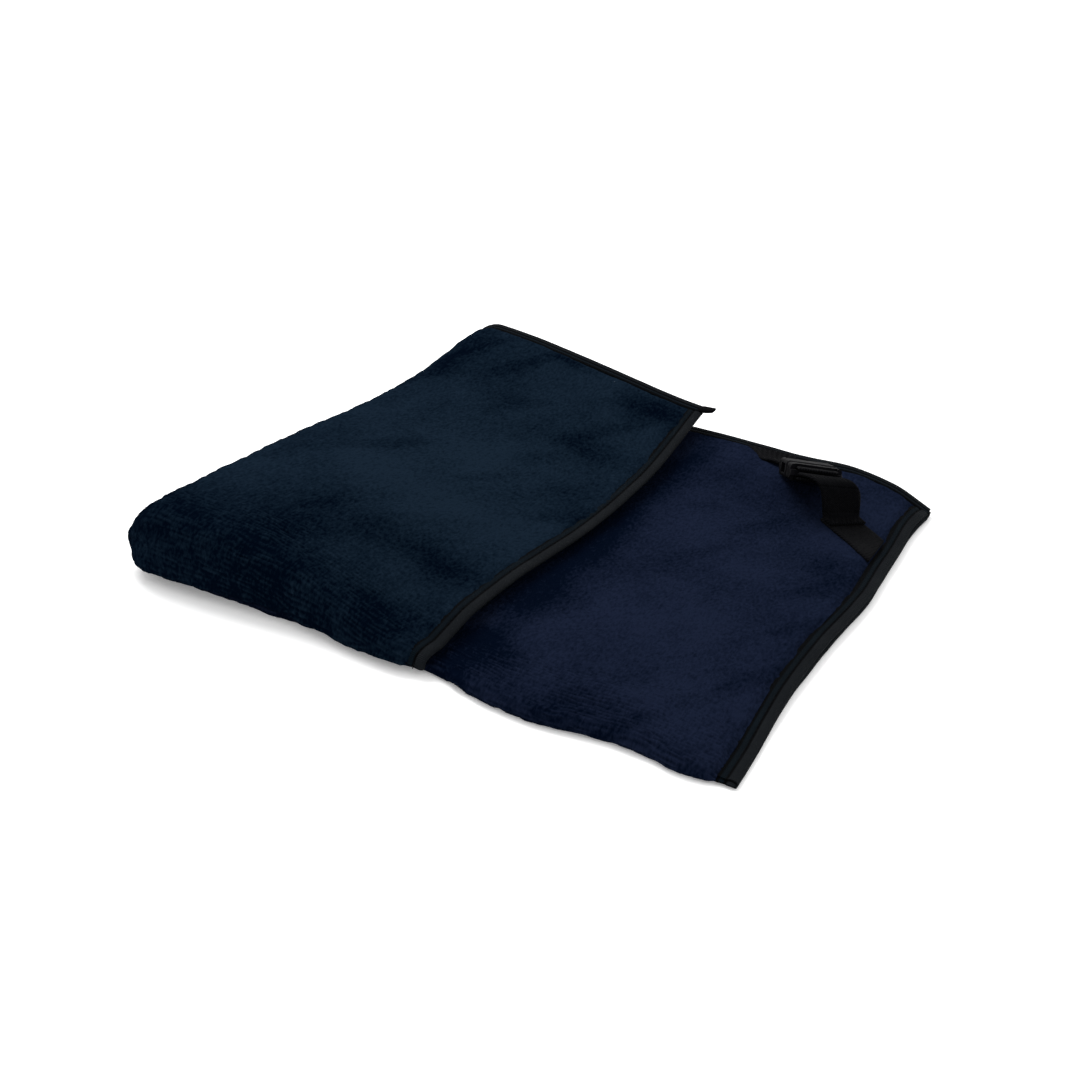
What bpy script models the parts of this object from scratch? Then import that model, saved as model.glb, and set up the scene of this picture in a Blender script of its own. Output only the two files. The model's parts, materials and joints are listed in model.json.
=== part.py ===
"""Golf towel folded twice: plush cloth, taped edges, and a corner strap with a side-release buckle.

Metres, +Z up. The towel rests on z = 0. X runs along its near fold, Y from that fold to the bound edges.
"""

from math import cos, exp, pi, radians, sin

import bmesh
import bpy
from mathutils import Matrix, Vector

MM = 0.001
UP = Vector((0, 0, 1))

# Folded towel
LENGTH = 265 * MM
DEPTH = 300 * MM
FLAP = 140 * MM
PILE = 3.4 * MM
HEM = 1.2 * MM
GAP = 0.3 * MM
ORIGIN = Vector((132.5, 145.6, 0)) * MM

# Left fold: the outer layer turns round the inner one
ROLL = 16 * MM
OUTER_TURN = ROLL - PILE / 2
INNER_TURN = OUTER_TURN - PILE - 0.4 * MM
FLAP_DROP = 12 * MM
FAR_RISE = 3 * MM
FAR_RISE_REACH = 80 * MM
RISE_FROM_ROLL = 60 * MM

# Binding tape
TAPE = 9 * MM
TAPE_THICK = 0.5 * MM
TAPE_HALF = HEM / 2 + GAP + TAPE_THICK / 2
STEP_DOWN = TAPE + 0.4 * MM
STEP = 0.1 * MM
CLOTH_BACK = 1.2 * MM

# Waves of the outline: (height, place, width) in mm along the near edge and along the right edge
NEAR_WAVES = ((3.5, 82, 30), (-5.5, 175, 26), (-3.4, 245, 14))
RIGHT_WAVE = (-3.0, 78, 45)
NEAR_REACH = 60
RIGHT_REACH = 65

# The lifts of the base's upper layer: one at its far edge, one on its middle
FAR_LIFT = (4.0 * MM, 212 * MM, 26 * MM)
FAR_LIFT_FROM = 262 * MM
FAR_LIFT_OVER = 28 * MM
MIDDLE_LIFT = 1.2 * MM
MIDDLE_AT = (200 * MM, 120 * MM)
MIDDLE_WIDE = (38 * MM, 50 * MM)

# Spans of cloth along X and Y; a panel and its neighbours share them, so that their edges follow one line
BASE_COLUMNS = 18
FLAP_COLUMNS = 10
SIDE_ROWS = 14

# Near fold, rounded, and the flap's near end that hangs over it
NOSE = 4.2 * MM
LIP = 8 * MM

# Strap and buckle
WEB = 20 * MM
WEB_THICK = 1.4 * MM
BUCKLE_AT = Vector((202, 276.3, 14.8)) * MM
BUCKLE_YAW = -66
BUCKLE_TILT = 18
BUCKLE_WIDE = 25 * MM
BUCKLE_HIGH = 9 * MM
FEMALE_END = 23 * MM
MALE_START = FEMALE_END + GAP
MALE_END = 38 * MM
BAR = 2.8 * MM
BAR_HALF = 1.4 * MM
BAR_STEP = 0.5 * MM
SLOT = 3.4 * MM
SLOT_HALF = 10.4 * MM
BUCKLE_WALL = 1.5 * MM
SOCKET_START = 8 * MM
SOCKET_HALF = 10.6 * MM
WINDOW_HALF = 2.4 * MM
PRONG_HALF = 2.1 * MM
PRONG_ROOT = 6.6 * MM
BEYOND = 5 * MM
CHORD_A = Vector((LENGTH - 85 * MM, DEPTH, 0))
CHORD_B = Vector((LENGTH, DEPTH - 80 * MM, 0))

NAVY = (0.012, 0.022, 0.042)
CHARCOAL = (0.016, 0.018, 0.021)
WEBBING = (0.012, 0.012, 0.014)
PLASTIC = (0.008, 0.008, 0.010)


def clear_scene():
    for obj in list(bpy.data.objects):
        bpy.data.objects.remove(obj, do_unlink=True)


def make_material(name, colour, roughness):
    mat = bpy.data.materials.new(name)
    mat.use_nodes = True
    shader = mat.node_tree.nodes["Principled BSDF"]
    shader.inputs["Base Color"].default_value = (*colour, 1)
    shader.inputs["Roughness"].default_value = roughness
    shader.inputs["Metallic"].default_value = 0
    return mat


def make_collection(name):
    group = bpy.data.collections.new(name)
    bpy.context.scene.collection.children.link(group)
    return group


def smooth(t):
    t = min(max(t, 0), 1)
    return t * t * (3 - 2 * t)


def bump(x, height, middle, width):
    """A bell that stands height tall at its middle."""
    return height * exp(-(((x - middle) / width) ** 2))


def steps(start, end, count):
    return [start + (end - start) * i / count for i in range(count + 1)]


def settle(p):
    """Waves the near and right edges in plan, then moves the corner origin to the middle of the part."""
    x, y = p.x / MM, p.y / MM
    near = sum(bump(x, *wave) for wave in NEAR_WAVES) * (1 - smooth(y / NEAR_REACH))
    right = bump(y, *RIGHT_WAVE) * smooth((x - LENGTH / MM + RIGHT_REACH) / RIGHT_REACH)
    return p + Vector((right, near, 0)) * MM - ORIGIN


def base_wave(x, y):
    """How far the base's upper layer lifts off the flat."""
    far = bump(x, *FAR_LIFT) * smooth((y - FAR_LIFT_FROM) / FAR_LIFT_OVER)
    middle = bump(x, 1, MIDDLE_AT[0], MIDDLE_WIDE[0]) * bump(y, 1, MIDDLE_AT[1], MIDDLE_WIDE[1])
    return far + MIDDLE_LIFT * middle


def lower_height(x, y):
    return PILE / 2


def upper_height(x, y):
    return PILE * 1.5 + GAP + base_wave(x, y)


def flap_slope(x, y):
    """The flap slopes down to its free edge, and its far end stands a little higher."""
    fall = FLAP_DROP * (x - ROLL) / (FLAP - ROLL)
    rise = FAR_RISE * smooth((y - DEPTH + FAR_RISE_REACH) / FAR_RISE_REACH)
    return rise * smooth((x - ROLL) / RISE_FROM_ROLL) - fall


def flap_lower_height(x, y):
    return ROLL + INNER_TURN + flap_slope(x, y)


def flap_upper_height(x, y):
    return ROLL + OUTER_TURN + flap_slope(x, y)


def add_object(name, mesh_bm, material, warp=True):
    """Turns a bmesh into a named object of the towel's collection."""
    if warp:
        for v in mesh_bm.verts:
            v.co = settle(v.co)
    bmesh.ops.recalc_face_normals(mesh_bm, faces=mesh_bm.faces)
    mesh = bpy.data.meshes.new(name)
    mesh_bm.to_mesh(mesh)
    mesh_bm.free()
    mesh.shade_smooth()
    mesh.set_sharp_from_angle(angle=radians(35))
    mesh.materials.append(material)
    obj = bpy.data.objects.new(name, mesh)
    parts.objects.link(obj)
    return obj


def grid_sheet(columns, rows, point):
    """A grid whose vertex (i, j) stands at point(columns[i], rows[j])."""
    bm = bmesh.new()
    nx, ny = len(columns) - 1, len(rows) - 1
    bmesh.ops.create_grid(bm, x_segments=nx, y_segments=ny, size=0.5)
    for v in bm.verts:
        i = round((v.co.x + 0.5) * nx)
        j = round((v.co.y + 0.5) * ny)
        v.co = point(columns[i], rows[j])
    return bm


def panel(name, columns, rows, centre, normal, half, material, warp=True):
    """A closed sheet, half(u, v) thick on either side of centre(u, v)."""
    bm = grid_sheet(columns, rows, lambda u, v: Vector((u, v, 0)))
    made = bmesh.ops.extrude_face_region(bm, geom=bm.faces[:])
    top = {v for v in made["geom"] if isinstance(v, bmesh.types.BMVert)}
    for v in bm.verts:
        u, w = v.co.x, v.co.y
        side = 1 if v in top else -1
        v.co = centre(u, w) + normal(u, w) * half(u, w) * side
    return add_object(name, bm, material, warp)


def in_tape(place, edge):
    """Whether a line of the cloth lies inside the tape of the edge beside it."""
    return place > edge - STEP_DOWN + STEP / 2


def flat_panel(name, columns, rows, height, right_edge, material):
    """A level cloth panel whose right and far edges thin to a hem for the tape."""

    def centre(x, y):
        return Vector((x, y, height(x, y)))

    def half(x, y):
        return (HEM if in_tape(x, right_edge) or in_tape(y, DEPTH) else PILE) / 2

    return panel(name, columns, rows, centre, lambda x, y: UP, half, material)


def with_hem(start, edge, count):
    """Even steps over the pile, then the two lines that step down to the hem."""
    step_down = edge - STEP_DOWN
    return steps(start, step_down, count) + [step_down + STEP, edge - CLOTH_BACK]


def tape(name, along, lay, normal, material):
    """A strip folded over the cloth's edge; lay(t, depth) is the cloth's middle, depth in from the edge."""
    section = [(TAPE, 1), (1.2 * MM, 1), (0.35 * MM, 0.6), (0.35 * MM, -0.6), (1.2 * MM, -1), (TAPE, -1)]

    def point(t, k):
        depth, side = section[round(k)]
        return lay(t, depth) + normal(t) * TAPE_HALF * side

    bm = grid_sheet(along, range(len(section)), point)
    obj = add_object(name, bm, material)
    shell = obj.modifiers.new("tape thickness", "SOLIDIFY")
    shell.thickness = TAPE_THICK
    shell.offset = 0
    shell.use_even_offset = True
    return obj


def loft(name, rings, material, warp=True):
    """A closed solid through equal rings of points."""
    bm = bmesh.new()
    loops = [[bm.verts.new(p) for p in ring] for ring in rings]
    for a, b in zip(loops, loops[1:]):
        for i in range(len(a)):
            j = (i + 1) % len(a)
            bm.faces.new((a[i], a[j], b[j], b[i]))
    ends = [bm.faces.new(loops[0]), bm.faces.new(list(reversed(loops[-1])))]
    bmesh.ops.triangulate(bm, faces=ends, ngon_method="EAR_CLIP")
    return add_object(name, bm, material, warp)


def half_round(height, depth, count=6):
    """Points of a half ellipse that bulges towards -Y, as (y, z) pairs from z = 0 to height."""
    turn = steps(0, pi, count)
    return [(depth * (1 - sin(a)), height / 2 * (1 - cos(a))) for a in turn]


# ---- base of the towel


def base_panels():
    columns = with_hem(ROLL + GAP, LENGTH, BASE_COLUMNS)
    rows = with_hem(NOSE, DEPTH, SIDE_ROWS)
    flat_panel("base_lower_sheet", columns, rows, lower_height, LENGTH, navy)
    flat_panel("base_upper_sheet", columns, rows, upper_height, LENGTH, navy)


def near_fold(name, start, end, count, material):
    rings = []
    for x in steps(start, end, count):
        top = upper_height(x, NOSE) + PILE / 2
        rings.append([Vector((x, y, z)) for y, z in half_round(top, NOSE - GAP)])
    return loft(name, rings, material)


def tape_pair(far, side, layer, height, right_edge):
    """The tapes on one layer's far edge and on its right edge."""

    def lay_far(x, depth):
        y = DEPTH - depth
        return Vector((x, y, height(x, y)))

    def lay_side(y, depth):
        x = right_edge - depth
        return Vector((x, y, height(x, y)))

    for (name, run), lay in ((far, lay_far), (side, lay_side)):
        tape(f"{name}_{layer}", run, lay, lambda t: UP, charcoal)


def base_bindings():
    far_run = steps(ROLL + GAP, LENGTH, 14)
    side_run = steps(NOSE, DEPTH - TAPE - GAP, SIDE_ROWS)
    for layer, height in (("lower", lower_height), ("upper", upper_height)):
        tape_pair(("far_binding", far_run), ("right_binding", side_run), layer, height, LENGTH)
    near_fold("right_binding_turn", LENGTH - TAPE, LENGTH - STEP, 2, charcoal)


# ---- left fold


def roll_point(radius, angle, y):
    return Vector((ROLL + radius * cos(angle), y, ROLL + radius * sin(angle)))


def roll_normal(angle):
    return Vector((cos(angle), 0, sin(angle)))


def left_fold():
    turn = steps(pi / 2, pi * 1.5, 12)
    rows = with_hem(NOSE, DEPTH, 3)

    def half(angle, y):
        return (HEM if in_tape(y, DEPTH) else PILE) / 2

    for layer, radius in (("outer", OUTER_TURN), ("inner", INNER_TURN)):
        panel(
            f"left_fold_{layer}",
            turn,
            rows,
            lambda a, y, r=radius: roll_point(r, a, y),
            lambda a, y: roll_normal(a),
            half,
            navy,
        )
        tape(
            f"left_fold_binding_{layer}",
            turn,
            lambda a, depth, r=radius: roll_point(r, a, DEPTH - depth),
            roll_normal,
            charcoal,
        )
    inside = INNER_TURN - PILE / 2
    profile = half_round(ROLL - inside, NOSE - GAP)
    rings = [[roll_point(inside + z, a, y) for y, z in profile] for a in turn]
    loft("left_fold_near_end", rings, navy)


# ---- flap


def flap_panels():
    columns = with_hem(ROLL + GAP, FLAP, FLAP_COLUMNS)
    rows = with_hem(LIP, DEPTH, SIDE_ROWS)
    for layer, height in (("lower", flap_lower_height), ("upper", flap_upper_height)):
        flat_panel(f"flap_{layer}_sheet", columns, rows, height, FLAP, navy)


def lip_ring(x):
    """Section of the flap's near end, which rolls over the base's near fold and hangs in front of it."""
    top = flap_upper_height(x, 0) + PILE / 2
    under = flap_lower_height(x, 0) - PILE / 2
    outer = [
        (LIP - GAP, top),
        (2 * MM, top - 0.6 * MM),
        (-3.2 * MM, top - 3.2 * MM),
        (-6.6 * MM, top - 7.4 * MM),
        (-7.9 * MM, (top - 3.2 * MM) / 2 + 2 * MM),
        (-7.4 * MM, 5.2 * MM),
    ]
    inner = [
        (-4.6 * MM, 4.0 * MM),
        (-1.8 * MM, 6.0 * MM),
        (-1.0 * MM, under - 3.4 * MM),
        (2.5 * MM, under - 0.5 * MM),
        (LIP - GAP, under),
    ]
    return [Vector((x, y, z)) for y, z in outer + inner]


def flap_lip():
    tape_line = FLAP - TAPE
    loft("flap_near_fold", [lip_ring(x) for x in steps(ROLL + GAP, FLAP - STEP_DOWN, FLAP_COLUMNS)], navy)
    loft("flap_binding_turn", [lip_ring(x) for x in steps(tape_line, FLAP - STEP, 2)], charcoal)


def flap_bindings():
    far_run = steps(ROLL + GAP, FLAP, 8)
    edge_run = steps(LIP, DEPTH - TAPE - GAP, SIDE_ROWS)
    for layer, height in (("lower", flap_lower_height), ("upper", flap_upper_height)):
        tape_pair(("flap_far_binding", far_run), ("flap_edge_binding", edge_run), layer, height, FLAP)


def tape_end():
    """The tape's loose end, a small point past the flap's far corner."""
    z = flap_upper_height(FLAP, DEPTH)
    start, tip = FLAP + GAP, FLAP + 9 * MM
    spans = ((start, 9 * MM, 1.0 * MM), ((start + tip) / 2, 7 * MM, 1.0 * MM), (tip, 1.5 * MM, 0.6 * MM))
    rings = []
    for x, wide, half in spans:
        low, high = DEPTH - wide, DEPTH - 0.5 * MM
        corners = ((low, -half), (high, -half), (high, half), (low, half))
        rings.append([Vector((x, y, z + h)) for y, h in corners])
    loft("tape_end", rings, charcoal)


# ---- strap


def ribbon(name, centres, sides, material, skew=(0, 0)):
    """Webbing through the centre points; sides are the directions across it, skew slants its two ends.

    Where the towel's wave would reach it, the webbing lies on the wave.
    """
    count = len(centres)

    def tangent(i):
        return (centres[min(i + 1, count - 1)] - centres[max(i - 1, 0)]).normalized()

    def centre(i, w):
        k = round(i)
        share = k / (count - 1)
        slant = skew[0] * (1 - share) + skew[1] * share
        point = centres[k] + sides[k] * w + tangent(k) * slant * w
        seat = point + ORIGIN
        point.z = max(point.z, strap_height(seat.x, seat.y))
        return point

    def normal(i, w):
        k = round(i)
        return sides[k].cross(tangent(k)).normalized()

    return panel(
        name,
        range(count),
        [-WEB / 2, 0, WEB / 2],
        centre,
        normal,
        lambda i, w: WEB_THICK / 2,
        material,
        warp=False,
    )


def strap_height(x, y):
    return upper_height(x, y) + PILE / 2 + GAP + WEB_THICK / 2


def on_towel(x, y):
    """A point of webbing that lies on the base, given in millimetres from the towel's near left corner."""
    return Vector((x * MM, y * MM, strap_height(x * MM, y * MM))) - ORIGIN


def buckle_frame():
    """The buckle's own axes: X from the female half's bar to the male half's, Z up out of its face."""
    place = Matrix.Translation(BUCKLE_AT - ORIGIN)
    yaw = Matrix.Rotation(radians(BUCKLE_YAW), 4, "Z")
    tilt = Matrix.Rotation(radians(-BUCKLE_TILT), 4, "Y")
    return place @ yaw @ tilt


def blend_points(start, start_way, end, end_way, count):
    """Points along a cubic between two points with their directions of travel."""
    points = []
    for t in steps(0, 1, count):
        a, b, c, d = (1 - t) ** 3, 3 * t * (1 - t) ** 2, 3 * t * t * (1 - t), t**3
        points.append(start * a + (start + start_way) * b + (end - end_way) * c + end * d)
    return points


def across(way):
    """The level direction across a run of webbing."""
    return UP.cross(way).normalized()


def turn_sides(start, end, count):
    return [start.lerp(end, t).normalized() for t in steps(0, 1, count)]


def strap_a(frame):
    along = frame.to_3x3() @ Vector((1, 0, 0))
    start = on_towel(183.5, 289.6)
    end = frame @ Vector((-3.8 * MM, 0, 0))
    way = (end - start).normalized()
    centres = blend_points(start, way * 6 * MM, end, along * 5 * MM, 5)
    sides = turn_sides(across(way), across(along), 5)
    ribbon("strap_a_webbing", centres, sides, webbing, skew=(1.3, 0))


def bar_loop(name, frame, free_x, bar_x, far_x):
    """Webbing doubled round a buckle bar, in the plane across the bar."""
    reach = 2.4 * MM
    profile = [
        (free_x, reach),
        (bar_x, reach + 0.2 * MM),
        (far_x, reach * 0.7),
        (far_x, -reach * 0.7),
        (bar_x, -reach - 0.2 * MM),
        (free_x, -reach),
    ]
    centres = [frame @ Vector((x, 0, z)) for x, z in profile]
    side = frame.to_3x3() @ Vector((0, 1, 0))
    ribbon(name, centres, [side] * len(centres), webbing)


def strap_b(frame):
    along = frame.to_3x3() @ Vector((1, 0, 0))
    start = frame @ Vector((MALE_END + 4.4 * MM, 0, 0))
    landing = Vector((233, 241.5, 0)) * MM - ORIGIN
    landing.z = strap_height(233 * MM, 241.5 * MM) + WEB_THICK + GAP
    drop = Vector((0.1, 0.35, -0.93)).normalized()
    way = (CHORD_B - CHORD_A).normalized()
    centres = blend_points(start, along * 13 * MM, landing, drop * 11 * MM, 9)
    sides = turn_sides(across(along), across(way), 9)
    ribbon("strap_b_riser", centres, sides, webbing)
    flat = [on_towel(x, 239.5 - (x - 235.5) * 0.86) for x in (231.5, 237.5, 243.5, 249, 254.2)]
    ribbon("strap_b_webbing", flat, [across(flat[-1] - flat[0])] * len(flat), webbing, skew=(0, -0.87))


# ---- buckle


def buckle_box(name, low, high, frame, material, bevel=0.0):
    """A block between two corners of the buckle's own axes, its edges rounded."""
    bm = bmesh.new()
    bmesh.ops.create_cube(bm, size=1)
    size = Vector(high) - Vector(low)
    middle = (Vector(high) + Vector(low)) / 2
    for v in bm.verts:
        v.co = Vector((v.co.x * size.x, v.co.y * size.y, v.co.z * size.z)) + middle
    obj = add_object(name, bm, material, warp=False)
    obj.matrix_world = frame
    if bevel:
        edge = obj.modifiers.new("rounded edges", "BEVEL")
        edge.width = bevel
        edge.segments = 2
        edge.limit_method = "ANGLE"
    return obj


def cutter(low, high, frame):
    obj = buckle_box("cut", low, high, frame, plastic)
    parts.objects.unlink(obj)
    cutters.objects.link(obj)
    obj.hide_render = True
    obj.display_type = "WIRE"
    return obj


def boolean(obj, other, operation):
    mod = obj.modifiers.new(operation.lower(), "BOOLEAN")
    mod.operation = operation
    mod.object = other


def bar_cutters(start, end, slot_start, slot_end, frame):
    """Cutters for the slot that the webbing passes through, and for the steps that thin the bar beside it."""
    beyond_y, beyond_z = BUCKLE_WIDE, BUCKLE_HIGH
    slot = cutter((slot_start, -SLOT_HALF, -beyond_z), (slot_end, SLOT_HALF, beyond_z), frame)
    top_step = cutter((start, -beyond_y, BAR_HALF), (end, beyond_y, beyond_z), frame)
    low_step = cutter((start, -beyond_y, -beyond_z), (end, beyond_y, -BAR_HALF), frame)
    return slot, top_step, low_step


def buckle_female(frame):
    wide, high = BUCKLE_WIDE / 2, BUCKLE_HIGH / 2
    body = buckle_box("buckle_female", (0, -wide, -high), (FEMALE_END, wide, high), frame, plastic, 1.6 * MM)
    inside = high - BUCKLE_WALL
    socket_end = FEMALE_END + BEYOND
    socket = cutter((SOCKET_START, -SOCKET_HALF, -inside), (socket_end, SOCKET_HALF, inside), frame)
    windows = cutter((9 * MM, -BUCKLE_WIDE, -WINDOW_HALF), (17.6 * MM, BUCKLE_WIDE, WINDOW_HALF), frame)
    bar = bar_cutters(-BEYOND, BAR + BAR_STEP, BAR, BAR + SLOT, frame)
    for tool in (socket, windows, *bar):
        boolean(body, tool, "DIFFERENCE")


def buckle_male(frame):
    wide, high = BUCKLE_WIDE / 2, BUCKLE_HIGH / 2 - 0.4 * MM
    low, top = (MALE_START, -wide, -high), (MALE_END, wide, high)
    body = buckle_box("buckle_male", low, top, frame, plastic, 1.4 * MM)
    tongue = cutter((10 * MM, -1.7 * MM, -1.6 * MM), (MALE_START + 3 * MM, 1.7 * MM, 1.6 * MM), frame)
    boolean(body, tongue, "UNION")
    bar_start = MALE_END - BAR
    for tool in bar_cutters(bar_start - BAR_STEP, MALE_END + BEYOND, bar_start - SLOT, bar_start, frame):
        boolean(body, tool, "DIFFERENCE")


def prong(name, side, frame):
    """One spring arm of the male half, its barbed head standing in the female half's side window."""
    pivot = Vector((FEMALE_END, side * PRONG_ROOT, 0))
    outline = [
        (22.9, 5.6),
        (22.9, 7.6),
        (17.2, 8.4),
        (17.2, 11.8),
        (13.5, 11.4),
        (9.8, 8.0),
        (9.8, 6.0),
        (12.0, 5.6),
    ]
    rings = []
    for z in (-PRONG_HALF, PRONG_HALF):
        rings.append([Vector((x * MM, side * y * MM, z)) - pivot for x, y in outline])
    obj = loft(name, rings, plastic, warp=False)
    obj.matrix_world = frame @ Matrix.Translation(pivot)


clear_scene()
parts = make_collection("golf_towel")
cutters = make_collection("cutters")
navy = make_material("navy_plush", NAVY, 0.95)
charcoal = make_material("charcoal_tape", CHARCOAL, 0.85)
webbing = make_material("black_webbing", WEBBING, 0.75)
plastic = make_material("black_plastic", PLASTIC, 0.35)

base_panels()
near_fold("base_near_fold", ROLL + GAP, LENGTH - STEP_DOWN, BASE_COLUMNS, navy)
base_bindings()
left_fold()
flap_panels()
flap_lip()
flap_bindings()
tape_end()

buckle = buckle_frame()
strap_a(buckle)
bar_loop("strap_a_loop", buckle, -3.0 * MM, 1.2 * MM, 4.2 * MM)
bar_loop("strap_b_loop", buckle, MALE_END + 3.9 * MM, MALE_END - 1.2 * MM, 33.5 * MM)
strap_b(buckle)
buckle_female(buckle)
buckle_male(buckle)
prong("prong_left", 1, buckle)
prong("prong_right", -1, buckle)
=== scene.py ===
"""Looks of the folded golf towel: plush cloth, taped edges and a webbing strap.

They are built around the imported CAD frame. Shapes are worked out in millimetres from the towel's near
left corner, then placed in the frame's metres. The towel is one sheet: a column runs from the far edge of
its first layer, round the near fold, to the far edge of its second layer. Columns run from the right edge
over the base, up the left roll and over the flap.
"""

import json

import bpy
import numpy as np
from mathutils import Matrix, Vector


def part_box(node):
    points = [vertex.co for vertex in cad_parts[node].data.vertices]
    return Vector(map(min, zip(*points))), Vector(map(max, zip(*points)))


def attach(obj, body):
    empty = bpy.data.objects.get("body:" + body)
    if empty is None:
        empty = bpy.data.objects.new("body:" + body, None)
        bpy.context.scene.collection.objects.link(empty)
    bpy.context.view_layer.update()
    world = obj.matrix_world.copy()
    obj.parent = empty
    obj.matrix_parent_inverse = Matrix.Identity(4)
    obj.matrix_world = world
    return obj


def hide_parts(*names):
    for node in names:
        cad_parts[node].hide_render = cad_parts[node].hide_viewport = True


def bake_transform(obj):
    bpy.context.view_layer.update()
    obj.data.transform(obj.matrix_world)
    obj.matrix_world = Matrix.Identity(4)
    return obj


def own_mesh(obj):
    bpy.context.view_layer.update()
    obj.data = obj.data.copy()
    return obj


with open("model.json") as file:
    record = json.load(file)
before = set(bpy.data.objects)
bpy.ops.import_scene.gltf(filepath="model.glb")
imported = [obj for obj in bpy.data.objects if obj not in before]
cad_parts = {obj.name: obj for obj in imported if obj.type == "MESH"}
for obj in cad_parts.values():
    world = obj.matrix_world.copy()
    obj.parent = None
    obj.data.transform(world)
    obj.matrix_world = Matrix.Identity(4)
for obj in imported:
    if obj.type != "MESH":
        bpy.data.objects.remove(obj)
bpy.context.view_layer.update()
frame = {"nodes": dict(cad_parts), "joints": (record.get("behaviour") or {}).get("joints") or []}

MM = 0.001
CORNER = np.array([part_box("left_fold_outer")[0].x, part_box("left_fold_near_end")[0].y, 0.0])


def place(node, corner, axis):
    """A CAD node's lowest (0) or highest (1) value on an axis, in millimetres from the towel's corner."""
    return (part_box(node)[corner][axis] - CORNER[axis]) / MM


# The towel's length, depth, flap and roll, from the frame
LENGTH = place("far_binding_lower", 1, 0)
DEPTH = place("far_binding_lower", 1, 1)
FLAP = place("flap_far_binding_upper", 1, 0)
ROLL = place("left_fold_outer", 1, 2) / 2

# Cloth: two layers' thickness and one layer's, how far in the near fold starts and how far it stands out
THICK = 7.1
LAYER = THICK / 2
LIP = 8.0
NOSE = 4.2

# Tape: its width, its seam's distance in, the cloth that reaches under it, the lower layer's setback
TAPE = 9.0
SEAM = 4.6
OVERLAP = 1.2
FLAP_OVERLAP = 3.2
RECESS = 3.0

# Angles round the roll where it meets the flap and the base
TOP, BOTTOM = 0.5 * np.pi, 1.5 * np.pi

# Points along a column's near fold and along each side tape, and the ribs of the pile
LIP_ROWS = 84
SIDE_ROWS = 110
RIB_PITCH = 2.3
RIB_HEIGHT = 0.42

# Strap: webbing, where its two ends meet the cloth, and the hollow in the cloth under the buckle
WEB = 20.0
WEB_THICK = 1.5
STRAP_A_X = place("strap_a_webbing", 0, 0) + 13.6
LANDING_X = place("strap_b_webbing", 0, 0) + 8
LANDING_Y = place("strap_b_webbing", 1, 1) - 9
BUCKLE_DIP_X = place("buckle_female", 0, 0) + 13
BUCKLE_DIP_Y = place("buckle_female", 1, 1) + 5.8


# ---- numbers


def smooth(t):
    t = np.clip(t, 0, 1)
    return t * t * (3 - 2 * t)


def bell(x, middle, width):
    return np.exp(-(((x - middle) / width) ** 2))


def noise(u, v, seed):
    """Smooth value noise between -1 and 1, with cells of size 1."""
    table = np.random.default_rng(seed).random((128, 128)) * 2 - 1
    i, j = np.floor(u).astype(int), np.floor(v).astype(int)
    a, b = smooth(u - i), smooth(v - j)
    i, j = i % 128, j % 128
    k, m = (i + 1) % 128, (j + 1) % 128
    near = table[i, j] * (1 - a) + table[k, j] * a
    far = table[i, m] * (1 - a) + table[k, m] * a
    return near * (1 - b) + far * b


def through(x, points):
    """A smooth curve through a few (place, value) points."""
    xs, ys = np.array(points, float).T
    slopes = np.gradient(ys, xs)
    i = np.clip(np.searchsorted(xs, x) - 1, 0, len(xs) - 2)
    width = xs[i + 1] - xs[i]
    t = np.clip((x - xs[i]) / width, 0, 1)
    start = ys[i] * (1 + 2 * t) * (1 - t) ** 2 + slopes[i] * width * t * (1 - t) ** 2
    return start + ys[i + 1] * t * t * (3 - 2 * t) + slopes[i + 1] * width * t * t * (t - 1)


def evenly(points, count):
    """Spreads count points evenly along a line of points."""
    points = np.asarray(points, float)
    lengths = np.r_[0, np.cumsum(np.linalg.norm(np.diff(points, axis=0), axis=1))]
    at = np.linspace(0, lengths[-1], count)
    return np.stack([np.interp(at, lengths, points[:, k]) for k in range(points.shape[1])], axis=1)


def rounded(points, count):
    """A Catmull-Rom curve through the points, evenly spread."""
    p = np.asarray(points, float)
    p = np.vstack([2 * p[0] - p[1], p, 2 * p[-1] - p[-2]])
    fine = []
    for a, b, c, d in zip(p, p[1:], p[2:], p[3:]):
        for t in np.linspace(0, 1, 12, endpoint=False):
            part = 2 * b + (c - a) * t + (2 * a - 5 * b + 4 * c - d) * t**2 + (3 * b - a - 3 * c + d) * t**3
            fine.append(part / 2)
    return evenly(fine + [p[-2]], count)


# ---- shape of the towel


def near_wave(x):
    """The near edge's line in plan."""
    back = 3.5 * bell(x, 82, 30) + 3.0 * bell(x, 141, 11)
    return back - 5.5 * bell(x, 175, 26) - 2.0 * bell(x, 193, 14) - 3.4 * bell(x, 245, 14)


def base_height(x, y):
    """Top of the base's upper layer."""
    far = through(x, ((120, 3.5), (150, 5.0), (186, 6.2), (217, 8.8), (240, 6.0), (265, 0.8)))
    lift = far * smooth((y - 235) / 62)
    swell = 1.6 * bell(x, 205, 42) * bell(y, 120, 55) + 1.3 * bell(x + 0.35 * y, 250, 16) * bell(y, 215, 45)
    fold = 1.5 * bell(y, 20 + 0.35 * (x - 190), 9) * smooth((x - 160) / 30)
    right_drop = (3.2 * bell(y, 10, 55) + 0.8) * smooth((x - LENGTH + 22) / 20)
    pressed = 1.6 * smooth((158 - x) / 14) * bell(y, 0, 45)
    corner = 2.6 * bell(x, LENGTH, 12) * bell(y, DEPTH, 14)
    buckle = 3.6 * bell(x, BUCKLE_DIP_X, 17) * bell(y, BUCKLE_DIP_Y, 13)
    return THICK + lift + swell + fold * (1 - smooth((x - 225) / 30)) - right_drop - pressed - corner - buckle


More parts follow.
